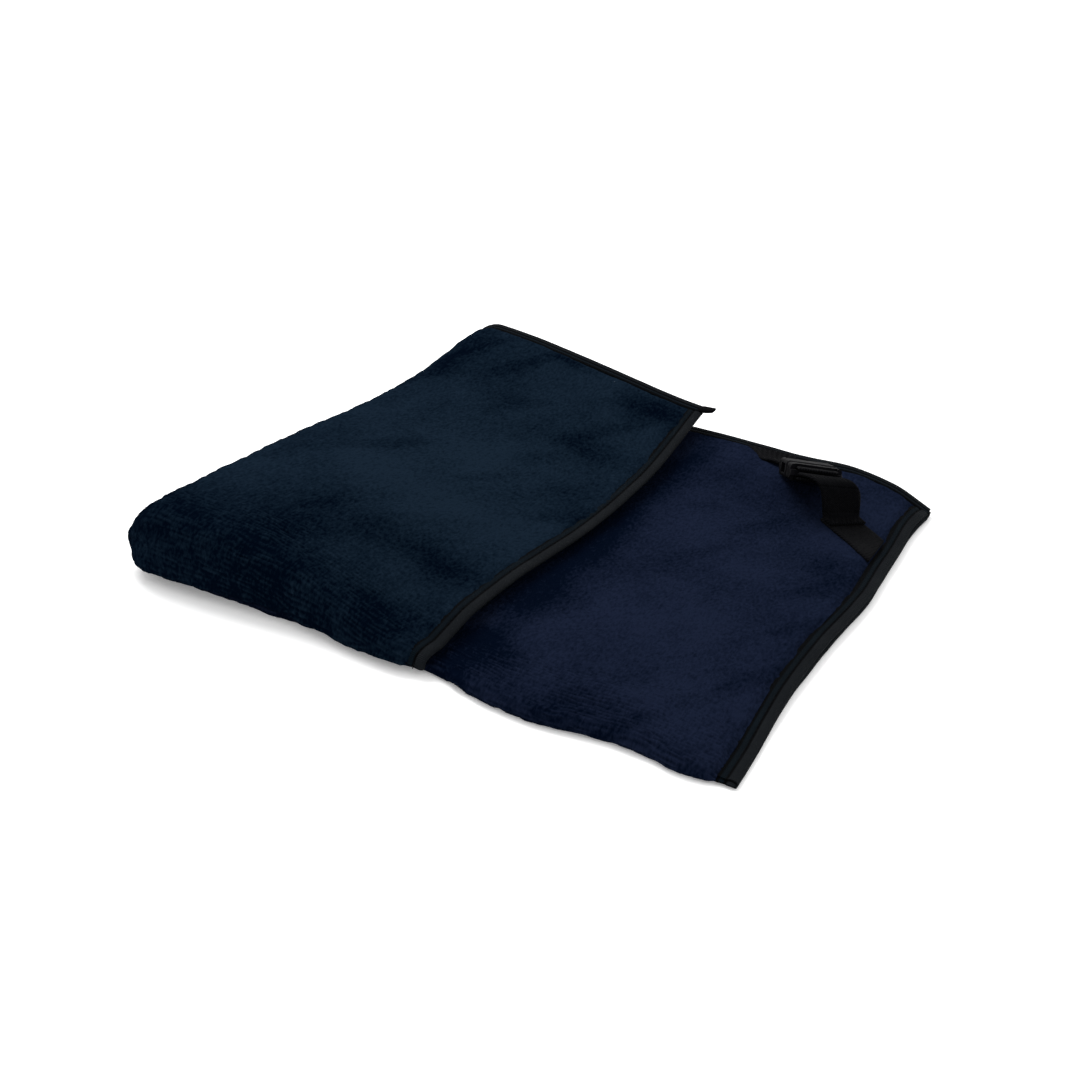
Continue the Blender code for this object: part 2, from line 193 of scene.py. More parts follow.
def roll_height(y):
    """Top of the left roll: sagging past the middle of its length, standing up at its far end."""
    sag = 8.0 * bell(y, 195, 96)
    far_rise = 4.2 * smooth((y - 236) / 54)
    return 2 * ROLL + 1.4 - sag + far_rise


def flap_height(x, y):
    """Top of the flap's upper layer, from the roll down to the free edge that lies on the base."""
    share = through(x, ((16, 0), (40, 0.08), (70, 0.30), (100, 0.62), (125, 0.88), (146, 1.0)))
    near = smooth((y + 2) / 40)
    edge = 9.4 + 5.0 * near
    edge = edge + through(y, ((0, 0), (200, 0), (235, 1.5), (270, 5.5), (300, 9.0)))
    high = roll_height(y)
    dip = -2.0 * bell(x, 66, 20) * bell(y, 262, 26) + 1.0 * bell(x, 96, 18) * bell(y, 236, 24)
    folds = 1.1 * bell(x - 0.55 * y, 44, 9) * bell(y, 70, 34) - 1.2 * bell(x, 104, 17) * bell(y, 58, 16)
    folds += 0.9 * bell(x + 0.4 * y, 178, 10) * bell(y, 232, 40) - 0.8 * bell(x, 102, 15) * bell(y, 208, 14)
    return high + (edge - high) * share + (dip + folds) * (1 - smooth((x - 118) / 20))


def flap_under(x, y):
    """Underside of the flap's lower layer, which is pressed thin where it lies on the base."""
    return np.maximum(flap_height(x, y) - THICK, np.minimum(base_height(x, y) + 0.3, flap_height(x, y) - 4.4))


def flap_edge(y):
    """How far the flap's free edge stands from the left."""
    swell = smooth((y - 60) / 100) - smooth((y - 186) / 140)
    return FLAP - 0.6 + 5.5 * swell


def lip_reach(x):
    """How far the flap's near end stands out over the base's near fold, as a share of its full overhang."""
    return through(x, ((0, 0.95), (16, 0.90), (60, 0.50), (84, 0.22), (100, 0.34), (130, 0.18), (146, 0.15)))


def pile_edge(distance):
    """The pile rounds down over its last few millimetres before a tape."""
    return -1.4 * (1 - smooth(distance / 3.2))


def lip_foot(x):
    """How high the flap's near end stops above the floor."""
    height = through(x, ((0, 4.6), (20, 5.2), (84, 5.2), (102, 3.4), (118, 3.4), (134, 2.8), (146, 1.6)))
    return height + 0.4 * np.sin(x / 17)


def lip_path(top, under, foot, reach):
    """Section of the flap's near end: outer layer, overhang, back over the base's near fold, inner layer."""
    tall = (top - foot) / (2 * ROLL - 4)
    middle = foot + (top - foot) * 0.45
    bulge = 0.58 + 0.42 * reach
    outer = [(-3.2, top - 3.2 * tall), (-6.6, top - 7.4 * tall), (-8.1, middle), (-7.4, foot + 1.4 * tall)]
    outer += [(-5.8, foot), (-3.6, foot + 0.8 * tall)]
    outer = [(LIP, top), (2, top - 0.6 * tall)] + [(y * bulge, z) for y, z in outer]
    inner = [(-1.8, foot + 3 * tall), (-1.2, under - 3.4 * tall), (2.5, under - 0.5 * tall), (LIP, under)]
    return outer + inner


def fold_path(outer, inner, bulge=NOSE):
    """Section of a plain near fold between the layers' heights, a half ellipse."""
    turn = np.linspace(0, np.pi, 9)
    middle, half = (outer + inner) / 2, (outer - inner) / 2
    nose = [(bulge * (1 - np.sin(a)), middle + half * np.cos(a)) for a in turn]
    return [(LIP, outer)] + nose + [(LIP, inner)]


class Columns:
    """The sheet's columns: where each stands in X, and at which angle round the roll."""

    def __init__(self):
        edge = [LENGTH - TAPE + OVERLAP - d for d in (0, 0.6, 1.3, 2.2, 3.3)]
        base = np.r_[edge, np.linspace(edge[-1] - 1.5, ROLL, 144)]
        turn = np.linspace(BOTTOM, TOP, 38)
        end = [FLAP - TAPE + FLAP_OVERLAP - d for d in (3.3, 2.2, 1.3, 0.6, 0)]
        flap = np.r_[np.linspace(ROLL, end[0] - 1.5, 72), end]
        self.x = np.r_[base, ROLL + ROLL * np.cos(turn[1:-1]), flap]
        self.angle = np.r_[np.full(len(base), BOTTOM), turn[1:-1], np.full(len(flap), TOP)]
        self.roll_start = len(base) - 1
        self.flap_start = self.roll_start + len(turn) - 1
        self.arc = np.r_[-base, -ROLL + ROLL * (BOTTOM - turn[1:-1]), ROLL * np.pi - 2 * ROLL + flap]


def layer_rows():
    """Distances from the near end along one layer: close together where the ribs show."""
    near = np.linspace(LIP, 58, 88)
    far = np.linspace(58, DEPTH - TAPE - 2.8, 146)[1:]
    return np.r_[near, far, [DEPTH - TAPE + OVERLAP - d for d in (2.2, 1.3, 0.6, 0)]]


def on_base(angle):
    return angle > BOTTOM - 1e-6


def on_flap(angle):
    return angle < TOP + 1e-6


def layer_point(x, angle, y, outer):
    """Points on the outer side of one layer of the folded sheet, without its pile. y may be a list."""
    y = np.asarray(y, float)
    if on_base(angle):
        height = 0.0 if outer else base_height(x, y)
    elif on_flap(angle):
        height = flap_height(x, y) if outer else flap_under(x, y)
    else:
        flat = roll_height(y) / (2 * ROLL)
        radius = ROLL if outer else ROLL - THICK
        x = ROLL + radius * np.cos(angle)
        height = (ROLL + radius * np.sin(angle)) * flat
        if not outer:
            bottom, top = (ROLL - radius) * flat, (ROLL + radius) * flat
            share = smooth((height - bottom) / (top - bottom))
            height += (base_height(ROLL, y) - bottom) * (1 - share) + (flap_under(ROLL, y) - top) * share
    return np.stack([x + 0 * y, y, height + 0 * y], axis=-1)


def near_section(x, angle):
    """The near end of one column, as points from the outer layer to the inner layer."""
    start, end = layer_point(x, angle, LIP, True), layer_point(x, angle, LIP, False)
    if on_base(angle):
        return rounded([(x, y, z) for y, z in fold_path(0.0, end[2])], LIP_ROWS)
    if on_flap(angle):
        path = lip_path(start[2], end[2], lip_foot(x), lip_reach(x))
        return rounded([(x, y, z) for y, z in path], LIP_ROWS)
    radial = []
    for y, r in fold_path(ROLL, ROLL - THICK):
        radial.append((ROLL + r * np.cos(angle), y, ROLL + r * np.sin(angle)))
    radial[0], radial[-1] = start, end
    radial = rounded(radial, LIP_ROWS)
    if angle > np.pi:
        return radial
    hang = smooth((np.pi - angle) / 0.9)
    foot = ROLL - ROLL * np.sin(angle) + lip_foot(start[0]) * np.sin(angle) ** 2
    front = np.sin(angle) ** 0.6
    drape = []
    for y, z in lip_path(start[2], end[2], foot, lip_reach(start[0])):
        share = smooth((start[2] - z) / 12)
        drape.append((start[0] + (end[0] - start[0]) * 0.3 * share, LIP + (y - LIP) * front, z))
    drape[-1] = end
    return radial * (1 - hang) + rounded(drape, LIP_ROWS) * hang


def column(x, angle, rows):
    """One column of the sheet, from the far end of its outer layer to the far end of its inner layer."""
    outer = layer_point(x, angle, rows[::-1], True)
    inner = layer_point(x, angle, rows, False)
    section = near_section(x, angle)
    steps = np.r_[0, np.cumsum(np.linalg.norm(np.diff(section, axis=0), axis=1))]
    along = np.r_[-rows[::-1][:-1] + LIP, steps, steps[-1] + rows[1:] - LIP]
    return np.vstack([outer[:-1], section, inner[1:]]), along


def settle(points, angle, inner):
    """The plan waves of the towel's edges. inner is 0 on the outer layer and 1 on the inner one."""
    p = np.array(points, float)
    x, y, z = (p[..., k].copy() for k in range(3))
    flap = 1.0 - smooth((np.asarray(angle) - TOP) / np.pi)
    right = 1.2 * bell(y, 180, 24) + 2.4 * bell(y, 308, 18) - 3.0 * bell(y, 78, 45)
    right = right - 1.0 * bell(y, 125, 25) - 0.9 * bell(y, 262, 18)
    p[..., 0] += right * smooth((x - 200) / 65)
    free = smooth((x - 50) / (FLAP - 50)) * flap
    p[..., 0] += free * (flap_edge(y) - FLAP - RECESS * inner)
    p[..., 0] -= 2.6 * bell(y, 2, 26) * bell(z, 12, 10) * (1 - smooth(x / 34))
    p[..., 1] += near_wave(x) * (1 - smooth(y / 60))
    p[..., 1] += 4.0 * bell(x, 10, 55) * smooth((y - 200) / 100) * flap
    return p


def build_sheet():
    """Every point of the sheet, with its lengths along both threads."""
    cols, rows = Columns(), layer_rows()
    made = [column(x, angle, rows) for x, angle in zip(cols.x, cols.angle)]
    return cols, rows, np.array([m[0] for m in made]), np.array([m[1] for m in made])


def inner_share(rows):
    """0 along the outer layer, 1 along the inner one, changing over the near fold."""
    return np.r_[np.zeros(len(rows) - 1), np.linspace(0, 1, LIP_ROWS), np.ones(len(rows) - 1)]


def grid_normals(points):
    """Unit normals that point out of the folded sheet."""
    across = np.gradient(points, axis=0)
    down = np.gradient(points, axis=1)
    normal = np.cross(down, across)
    return normal / np.maximum(np.linalg.norm(normal, axis=2, keepdims=True), 1e-9)


def rib_wave(length, arc):
    """Rows of loops between 0 and 1: rounded ribs that wander and break up into short runs."""
    wander = 0.5 * noise(arc / 19, length / 9, 3) + 0.28 * noise(arc / 6, length / 4, 4)
    phase = length / RIB_PITCH + wander
    rib = 0.5 + 0.5 * np.cos(2 * np.pi * phase)
    broken = 0.6 + 0.8 * noise(arc / 3.6 + 7.3 * np.floor(phase), np.floor(phase) * 0.7, 5)
    return rib**0.8 * np.clip(broken, 0.05, 1.1)


def pile_relief(cols, rows, points, along):
    """How far the pile stands out of the sheet at each point, and the painted shade in the gaps between its
    loops.
    """
    lips = slice(len(rows) - 1, len(rows) - 1 + LIP_ROWS)
    arc = np.repeat(cols.arc[:, None], points.shape[1], axis=1)
    total = along[:, lips.stop - 1][:, None]
    second = along > total / 2
    length = np.where(second, total - along, along)
    depth = np.where(length < 0, -length, 0)
    reach = 30 + 16 * noise(arc / 26, depth / 60, 11)
    strength = 1 - smooth((depth - 6) / reach)
    strength = strength * (0.75 + 0.4 * noise(arc / 18, along / 14, 13))
    loops = rib_wave(length, arc)
    relief = strength * RIB_HEIGHT * (2 * loops - 0.8)
    relief += 0.3 * noise(arc / 2.6, along / 2.6, 6) * (1 - 0.6 * strength)
    relief += 0.24 * noise(arc / 5.5, along / 5.0, 7)
    relief += 0.26 * noise(arc / 13, along / 11, 8) + 0.6 * noise(arc / 36, along / 30, 9)
    # The second value is painted shade, darkest in the gaps between rib loops.
    return relief, strength * np.clip(1 - loops, 0, 1)


def edge_rounding(cols, rows):
    """The pile rounds down beside the tapes."""
    edge = np.where(on_base(cols.angle), cols.x.max() - cols.x, 99)
    edge = np.where(on_flap(cols.angle), FLAP - TAPE + FLAP_OVERLAP - cols.x, edge)
    ends = np.r_[rows[::-1][:-1], np.full(LIP_ROWS, LIP), rows[1:]]
    far = (DEPTH - TAPE + OVERLAP - ends)[None, :]
    return np.minimum(pile_edge(edge[:, None]), pile_edge(far))


# ---- objects


def make_object(name, points, faces, uvs=None, normals=None):
    """A mesh object from towel millimetres."""
    mesh = bpy.data.meshes.new(name)
    mesh.from_pydata((np.asarray(points) * MM + CORNER).tolist(), [], faces)
    if uvs is not None:
        layer = mesh.uv_layers.new(name="cloth")
        index = np.empty(len(mesh.loops), int)
        mesh.loops.foreach_get("vertex_index", index)
        layer.data.foreach_set("uv", (np.asarray(uvs)[index] * MM).ravel())
    obj = bpy.data.objects.new(name, mesh)
    bpy.context.scene.collection.objects.link(obj)
    mesh.shade_smooth()
    if normals is not None:
        mesh.normals_split_custom_set_from_vertices(np.asarray(normals).tolist())
    return obj


class Sheet:
    """The displaced sheet, from which the towel's cloth pieces are cut."""

    def __init__(self):
        self.cols, self.rows, points, self.along = build_sheet()
        normal = grid_normals(points)
        relief, self.rib_gap_shade = pile_relief(self.cols, self.rows, points, self.along)
        drop = edge_rounding(self.cols, self.rows)
        under = np.zeros(points.shape[:2], bool)
        under[: self.cols.roll_start + 1, : len(self.rows)] = True
        fine = np.where(under, 0, relief + 0.25) + drop
        self.middle = points
        moved = points + normal * fine[:, :, None]
        moved[:, :, 2] = np.maximum(moved[:, :, 2], 0)
        self.points = settle(moved, self.cols.angle[:, None], inner_share(self.rows)[None, :])
        self.normals = grid_normals(self.points)
        self.pile_tone_and_shade = self.nap_and_painted_shade()

    def nap_and_painted_shade(self):
        """How dark (1) or light (0) the pile is coloured: random brushed tone and darker diagonal streaks,
        painted shade and painted light in patches, and painted shade in the gaps between rib loops.
        """
        x, y = self.middle[:, :, 0], self.middle[:, :, 1]
        arc = np.repeat(self.cols.arc[:, None], x.shape[1], axis=1)
        cloud = 0.5 + 0.35 * noise(arc / 34, self.along / 48, 21)
        cloud += 0.25 * noise(arc / 11, self.along / 19, 22)
        flap = (self.cols.angle < 1.2 * np.pi)[:, None]
        # Painted shade and light in patches: a positive depth darkens a shaded hollow or the shadow along the
        # flap's edge, a negative one lightens a lit ridge.
        dark = np.zeros_like(x)
        for px, py, wide, high, depth in FLAP_PAINTED_SHADE:
            dark += np.where(flap, depth * bell(x, px, wide) * bell(y, py, high), 0)
        for px, py, wide, high, depth in BASE_PAINTED_SHADE:
            dark += np.where(flap, 0, depth * bell(x, px, wide) * bell(y, py, high))
        crease = 0.25 * smooth(noise((arc + 0.5 * self.along) / 13, self.along / 44, 23) * 1.6 - 0.4)
        return np.clip(cloud * 0.55 + 1.25 * dark + crease + 0.55 * self.rib_gap_shade, 0, 1)

    def piece(self, name, columns, first, last, nose):
        """A closed slice: columns, and rows first to last of both layers, with or without the near fold."""
        total = self.points.shape[1]
        if nose:
            rows = np.arange(first, total - first)
        else:
            rows = np.r_[np.arange(first, last + 1), np.arange(total - 1 - last, total - first)]
        half = len(rows) // 2
        picked = np.ix_(columns, rows)
        points = self.points[picked].reshape(-1, 3)
        normals = self.normals[picked].reshape(-1, 3)
        uv = np.stack([np.repeat(self.cols.arc[columns], len(rows)), self.along[picked].ravel()], axis=1)
        wide, high = len(columns), len(rows)
        faces = []
        for i in range(wide - 1):
            for j in range(high - 1):
                if nose or j != half - 1:
                    a = i * high + j
                    faces.append((a, a + 1, a + high + 1, a + high))
        faces += self.closing(wide, high, half, nose)
        obj = make_object(name, points, faces, uv, normals)
        attribute = obj.data.attributes.new("pile_tone_and_shade", "FLOAT", "POINT")
        attribute.data.foreach_set("value", self.pile_tone_and_shade[picked].astype(np.float32).ravel())
        return obj

    def closing(self, wide, high, half, nose):
        """Strips between the two layers along every open border of a slice."""
        faces = []
        for i, flip in ((0, False), (wide - 1, True)):
            for j in range(half - 1):
                a, b = i * high + j, i * high + high - 1 - j
                quad = (a, b, b - 1, a + 1)
                faces.append(quad[::-1] if flip else quad)
        ends = [0] if nose else [0, half - 1]
        for j in ends:
            for i in range(wide - 1):
                a, b = i * high + j, i * high + high - 1 - j
                quad = (a, a + high, b + high, b)
                faces.append(quad if j == 0 else quad[::-1])
        return faces


# Painted shade and light on the flap as x, y, width, height and depth: shade in hollows such as the far left
# band, light on ridges where depth is below zero.
FLAP_PAINTED_SHADE = (
    (80, 0, 80, 15, 0.22),
    (12, 262, 12, 34, 0.35),
    (66, 286, 10, 5, 0.40),
    (124, 276, 24, 14, 0.35),
    (104, 210, 18, 11, 0.30),
    (106, 57, 34, 13, 0.40),
    (62, 42, 34, 14, 0.22),
    (80, 100, 40, 20, -0.18),
    (60, 160, 40, 40, -0.10),
)
# Painted shade and light on the base as x, y, width, height and depth: the shadow along the flap's edge and
# shade in other hollows, light on ridges where depth is below zero.
BASE_PAINTED_SHADE = (
    (240, 187, 15, 16, 0.28),
    (147, 150, 10, 170, 0.55),
    (145, 30, 13, 10, 0.5),
    (172, 222, 18, 8, -0.15),
    (220, 26, 34, 8, -0.20),
    (215, 14, 40, 16, -0.2),
    (205, 110, 34, 60, -0.15),
)


# ---- materials


def node_tree(name):
    material = bpy.data.materials.new(name)
    material.use_nodes = True
    tree = material.node_tree
    return material, tree, tree.nodes["Principled BSDF"]


def add_node(tree, kind, inputs=None, **settings):
    node = tree.nodes.new(kind)
    for key, value in settings.items():
        setattr(node, key, value)
    for key, value in (inputs or {}).items():
        if isinstance(value, bpy.types.NodeSocket):
            tree.links.new(value, node.inputs[key])
        else:
            node.inputs[key].default_value = value
    return node


def mix_colour(tree, share, first, second):
    node = tree.nodes.new("ShaderNodeMix")
    node.data_type = "RGBA"
    for socket, value in ((node.inputs[0], share), (node.inputs[6], first), (node.inputs[7], second)):
        if isinstance(value, bpy.types.NodeSocket):
            tree.links.new(value, socket)
        else:
            socket.default_value = value
    return node.outputs[2]


def noise_value(tree, vector, scale, detail=2.0, rough=0.5):
    node = add_node(tree, "ShaderNodeTexNoise", {"Vector": vector, "Scale": scale, "Detail": detail})
    node.inputs["Roughness"].default_value = rough
    return node.outputs["Fac"]


def maths(tree, operation, a, b, c=None):
    values = {0: a, 1: b}
    if c is not None:
        values[2] = c
    return add_node(tree, "ShaderNodeMath", values, operation=operation).outputs[0]


def plush_material(name, light, mid, dark):
    """Plush pile: random brushed tone with painted shade and painted light from the sheet, flecks of loose
    fibre, and a soft sheen at grazing angles.
    """
    material, tree, shader = node_tree(name)
    uv = add_node(tree, "ShaderNodeUVMap", uv_map="cloth").outputs[0]
    # This attribute brings the pile's random tone with its painted shade and painted light.
    pile_tone_and_shade = add_node(tree, "ShaderNodeAttribute", attribute_name="pile_tone_and_shade").outputs["Fac"]
    combed = add_node(tree, "ShaderNodeMapping", {"Vector": uv, "Scale": (1.3, 0.62, 1)}).outputs[0]
    tufts = noise_value(tree, combed, 620, 2, 0.6)
    clumps = noise_value(tree, combed, 230, 3, 0.6)
    grain = maths(tree, "ADD", maths(tree, "MULTIPLY", tufts, 0.75), maths(tree, "MULTIPLY", clumps, 0.35))
    shade = maths(tree, "ADD", pile_tone_and_shade, maths(tree, "MULTIPLY", maths(tree, "SUBTRACT", 0.56, grain), 2.0))
    ramp = add_node(tree, "ShaderNodeValToRGB", {"Fac": shade})
    ramp.color_ramp.elements[0].position = 0.0
    ramp.color_ramp.elements[0].color = (*light, 1)
    ramp.color_ramp.elements[1].position = 0.92
    ramp.color_ramp.elements[1].color = (*dark, 1)
    middle = ramp.color_ramp.elements.new(0.45)
    middle.color = (*mid, 1)
    fleck = add_node(tree, "ShaderNodeTexVoronoi", {"Vector": uv, "Scale": 95.0, "Randomness": 1.0})
    spot = add_node(tree, "ShaderNodeMath", {0: fleck.outputs["Distance"], 1: 0.035}, operation="LESS_THAN")
    rare = maths(tree, "GREATER_THAN", noise_value(tree, uv, 38, 1), 0.66)
    lint = maths(tree, "MULTIPLY", spot.outputs[0], rare)
    faint = maths(tree, "MULTIPLY", lint, 0.25)
    colour = mix_colour(tree, faint, ramp.outputs["Color"], (0.12, 0.15, 0.18, 1))
    tree.links.new(colour, shader.inputs["Base Color"])
    shader.inputs["Roughness"].default_value = 1.0
    shader.inputs["Specular IOR Level"].default_value = 0.0
    shader.inputs["Sheen Weight"].default_value = 0.008
    shader.inputs["Sheen Roughness"].default_value = 0.45
    shader.inputs["Sheen Tint"].default_value = (0.32, 0.42, 0.55, 1)
    bump = add_node(tree, "ShaderNodeBump", {"Height": grain, "Strength": 1.0, "Distance": 0.0009})
    tree.links.new(bump.outputs[0], shader.inputs["Normal"])
    return material


def woven_material(name, light, dark, pitch, slant, band=None):
    """Woven cloth: fine ribs on a slant, with worn and dusty patches. band shades it across its width."""
    material, tree, shader = node_tree(name)
    uv = add_node(tree, "ShaderNodeUVMap", uv_map="cloth").outputs[0]
    turned = add_node(tree, "ShaderNodeMapping", {"Vector": uv, "Rotation": (0, 0, slant)}).outputs[0]
    wave = add_node(tree, "ShaderNodeTexWave", {"Vector": turned, "Scale": 0.5 / pitch})
    wave.inputs["Distortion"].default_value = 0.6
    wave.inputs["Detail"].default_value = 1.0
    thread = noise_value(tree, uv, 900, 3, 0.6)
    wear = noise_value(tree, uv, 55, 3, 0.6)
    uneven = maths(tree, "ADD", maths(tree, "MULTIPLY", thread, 0.8), 0.3)
    share = maths(tree, "MULTIPLY", wave.outputs["Fac"], uneven)
    share = maths(tree, "ADD", share, maths(tree, "MULTIPLY", maths(tree, "SUBTRACT", wear, 0.5), 0.9))
    colour = mix_colour(tree, share, (*dark, 1), (*light, 1))
    if band:
        colour = shade_across(tree, uv, colour, band)
    tree.links.new(colour, shader.inputs["Base Color"])
    shader.inputs["Roughness"].default_value = 0.85
    shader.inputs["Specular IOR Level"].default_value = 0.02
    shader.inputs["Sheen Weight"].default_value = 0.01
    shader.inputs["Sheen Roughness"].default_value = 0.4
    shader.inputs["Sheen Tint"].default_value = (0.5, 0.5, 0.5, 1)
    height = maths(tree, "ADD", wave.outputs["Fac"], maths(tree, "MULTIPLY", thread, 0.7))
    bump = add_node(tree, "ShaderNodeBump", {"Height": height, "Strength": 0.7, "Distance": 0.00025})
    tree.links.new(bump.outputs[0], shader.inputs["Normal"])
    return material


def shade_across(tree, uv, colour, edge):
    """Painted shade across the tape: the outer band left light, painted shade in the seam's groove, painted
    shade of the pile on the inner strip and painted shadow where it runs under the pile. edge is where the
    tape folds over.
    """
    across = add_node(tree, "ShaderNodeSeparateXYZ", {"Vector": uv}).outputs["Y"]
    inward = maths(tree, "ABSOLUTE", maths(tree, "SUBTRACT", across, edge * MM), 0.0)
    ramp = add_node(tree, "ShaderNodeValToRGB", {"Fac": maths(tree, "MULTIPLY", inward, 100.0)})
    # Painted shade: a dark groove at the seam, the inner strip darkened and tinted as in the pile's shade,
    # and a shadow past it under the pile.
    light, seam_shade = (1.0, 1.0, 1.0, 1), (0.08, 0.10, 0.12, 1)
    strip, shadow = (0.30, 0.55, 0.72, 1), (0.03, 0.06, 0.1, 1)
    stops = ((0.0, light), (0.44, light), (0.48, seam_shade), (0.55, seam_shade))
    stops += ((0.60, strip), (0.74, strip), (0.79, shadow))
    ramp.color_ramp.elements.remove(ramp.color_ramp.elements[1])
    for k, (place_at, value) in enumerate(stops):
        stop = ramp.color_ramp.elements[0] if k == 0 else ramp.color_ramp.elements.new(place_at)
        stop.color = value
    node = tree.nodes.new("ShaderNodeMix")
    node.data_type = "RGBA"
    node.blend_type = "MULTIPLY"
    node.inputs[0].default_value = 1.0
    tree.links.new(colour, node.inputs[6])
    tree.links.new(ramp.outputs["Color"], node.inputs[7])
    return node.outputs[2]


def plastic_material(name):
    """Moulded black plastic: a fine spark-eroded grain, softened edges and faint scuffs."""
    material, tree, shader = node_tree(name)
    where = add_node(tree, "ShaderNodeTexCoord").outputs["Object"]
    grain = noise_value(tree, where, 2600, 2, 0.6)
    scuff = noise_value(tree, where, 210, 4, 0.7)
    colour = mix_colour(tree, scuff, (0.0008, 0.0008, 0.0014, 1), (0.0030, 0.0030, 0.0042, 1))
    tree.links.new(colour, shader.inputs["Base Color"])
    shader.inputs["IOR"].default_value = 1.12
    rough = maths(tree, "ADD", maths(tree, "MULTIPLY", scuff, 0.2), 0.62)
    tree.links.new(rough, shader.inputs["Roughness"])
    bevel = add_node(tree, "ShaderNodeBevel", {"Radius": 0.0006}, samples=4)
    bump = add_node(tree, "ShaderNodeBump", {"Height": grain, "Strength": 0.15, "Distance": 0.0001})
    tree.links.new(bevel.outputs[0], bump.inputs["Normal"])
    tree.links.new(bump.outputs[0], shader.inputs["Normal"])
    return material


def floor_material():
    material, _, shader = node_tree("pale_floor")
    shader.inputs["Base Color"].default_value = (0.95, 0.95, 0.95, 1)
    shader.inputs["Roughness"].default_value = 0.9
    shader.inputs["Specular IOR Level"].default_value = 0.1
    shader.inputs["Emission Color"].default_value = (1, 1, 1, 1)
    shader.inputs["Emission Strength"].default_value = 0.16
    return material


def finish_piece(obj, material, body=None):
    obj.data.materials.clear()
    obj.data.materials.append(material)
    if body:
        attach(obj, body)


# ---- cloth


def cloth_pieces():
    sheet = Sheet()
    cols, last = sheet.cols, len(sheet.rows) - 1
    base = np.arange(0, cols.roll_start + 1)
    roll = np.arange(cols.roll_start, cols.flap_start + 1)
    flap = np.arange(cols.flap_start, len(cols.x))
    pieces = {
        "base_cloth": sheet.piece("base_cloth", base, 0, last, True),
        "roll_cloth": sheet.piece("roll_cloth", roll, 0, last, False),
        "roll_near_end": sheet.piece("roll_near_end", roll, last, last, True),
        "flap_cloth": sheet.piece("flap_cloth", flap, 0, last, False),
        "flap_near_end": sheet.piece("flap_near_end", flap, last, last, True),
    }
    for obj in pieces.values():
        finish_piece(obj, plush_flap if obj.name != "base_cloth" else plush_base)
    return sheet, pieces


# ---- tape


def tape_section():
    """The tape's section as (depth in from the edge, height): folded over a hem and sewn down in a groove."""
    outside = [(TAPE, 0.5), (TAPE - 0.3, 0.95), (7.2, 1.12), (5.8, 1.08), (5.1, 0.95), (SEAM, 0.7)]
    outside += [(4.1, 0.98), (3.2, 1.25), (2.0, 1.3), (1.0, 1.12), (0.3, 0.75), (0.0, 0.3)]
    inside = [(0.8, 0.25), (2.2, 0.6), (TAPE - 0.3, 0.45)]
    half = outside + [(d, -h) for d, h in reversed(outside)]
    back = [(d, -h) for d, h in reversed(inside)] + inside
    return np.array(half + back)


def around(section):
    return np.r_[0, np.cumsum(np.linalg.norm(np.diff(section, axis=0), axis=1))]


def tape_fold():
    """How far round its section the tape folds over the hem."""
    section = tape_section()
    steps = around(section)
    fold = int(np.argmin(section[:, 0]))
    return (steps[fold] + steps[fold + 1]) / 2


def sweep_tape(name, edge, inward, up, lengths):
    """A tape along an edge line; inward and up are the directions into the cloth and out of its face."""
    section = tape_section()
    count = len(section)
    rings = []
    for p, d, n, s in zip(edge, inward, up, lengths):
        pucker = 1 + 0.05 * float(noise(np.array(s / 5.0), np.array(0.5), 31))
        drift = 0.25 * float(noise(np.array(s / 14.0), np.array(1.5), 32))
        rings.append(p + np.outer(section[:, 0] + drift, d) + np.outer(section[:, 1] * pucker, n))
    points = np.vstack(rings)
    faces = []
    for i in range(len(rings) - 1):
        for j in range(count):
            k = (j + 1) % count
            a, b = i * count, (i + 1) * count
            faces.append((a + j, a + k, b + k, b + j))
    faces.append(tuple(range(count))[::-1])
    faces.append(tuple(range((len(rings) - 1) * count, len(rings) * count)))
    steps = around(section)
    uvs = np.array([(s, a) for s in lengths for a in steps])
    obj = make_object(name, points, faces, uvs)
    obj.data.set_sharp_from_angle(angle=1.2)
    return obj


def unit(vectors):
    return vectors / np.maximum(np.linalg.norm(vectors, axis=-1, keepdims=True), 1e-9)


def stitches(name, points, ways, outs):
    """A row of sewn stitches: short raised threads that dip into the tape at both ends."""
    verts, faces, uvs = [], [], []
    sides = 6
    ring = np.linspace(0, 2 * np.pi, sides + 1)[:-1]
    spine = ((-1.25, -0.18, 0.12), (-0.7, 0.12, 0.24), (0.7, 0.12, 0.24), (1.25, -0.18, 0.12))
    last = (len(spine) - 1) * sides
    for p, way, out in zip(points, ways, outs):
        side = np.cross(out, way)
        start = len(verts)
        for s, lift, r in spine:
            for a in ring:
                verts.append(p + way * s + out * (lift + r * np.sin(a)) + side * r * np.cos(a))
                uvs.append((s, a))
        for a in range(start, start + last, sides):
            b = a + sides
            for j in range(sides):
                k = (j + 1) % sides
                faces.append((a + j, a + k, b + k, b + j))
        faces.append(tuple(range(start, start + sides))[::-1])
        faces.append(tuple(range(start + last, start + last + sides)))
    return make_object(name, verts, faces, uvs)


